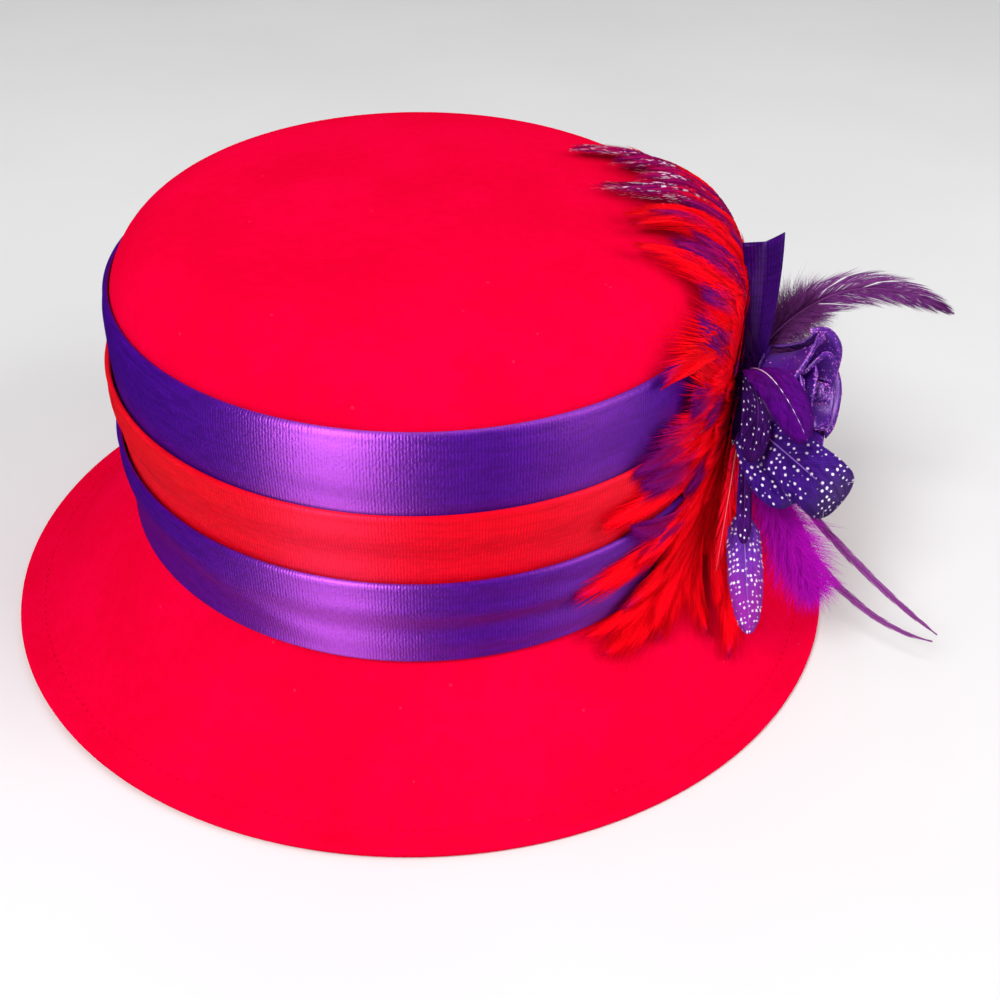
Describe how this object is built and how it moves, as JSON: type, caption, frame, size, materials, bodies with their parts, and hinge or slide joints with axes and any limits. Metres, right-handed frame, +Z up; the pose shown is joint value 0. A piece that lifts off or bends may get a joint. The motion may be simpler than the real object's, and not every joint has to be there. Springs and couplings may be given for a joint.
{
  "type": "cloche hat",
  "caption": "Red felt cloche hat with a drooping brim, a folded purple and red satin band, and a side ornament of a feather pad, satin rose, guinea feathers and quills.",
  "frame": {"origin": "middle of the bounding box's base, on the surface that the brim's edge rests on", "axes": "+Z up, -Y towards the front as pictured, +X towards the side with the ornament"},
  "size_m": [0.2834, 0.26, 0.1296],
  "materials": {
    "felt": "matte wool felt",
    "satin_purple": "satin",
    "satin_red": "satin",
    "feather_red": "silky feather with purple tips",
    "base_cloth": "matte felt disc",
    "satin_rose": "satin with glitter",
    "marabou": "fluffy down",
    "feather_mauve": "hackle feather",
    "feather_guinea": "dotted feather",
    "quill": "stripped feather quill"
  },
  "bodies": {
    "root": {"felt_body": "felt", "band_upper": "satin_purple", "band_middle": "satin_red", "band_lower": "satin_purple", "feather_pad": "feather_red", "ornament_base": "base_cloth", "rose_heart": "satin_rose", "rose_petal_1": "satin_rose", "rose_petal_2": "satin_rose", "rose_petal_3": "satin_rose", "rose_petal_4": "satin_rose", "rose_petal_5": "satin_rose", "rose_petal_6": "satin_rose", "rose_petal_7": "satin_rose", "rose_petal_8": "satin_rose", "ribbon_tail": "satin_purple", "marabou_plume": "marabou", "hackle_plume": "feather_mauve", "hackle_leaf": "feather_mauve", "guinea_upper": "feather_guinea", "guinea_front": "feather_guinea", "guinea_low": "feather_guinea", "guinea_hanging": "feather_guinea", "guinea_small": "feather_guinea", "red_feather": "feather_red", "quill_upper": "quill", "quill_lower": "quill"}
  },
  "joints": []
}
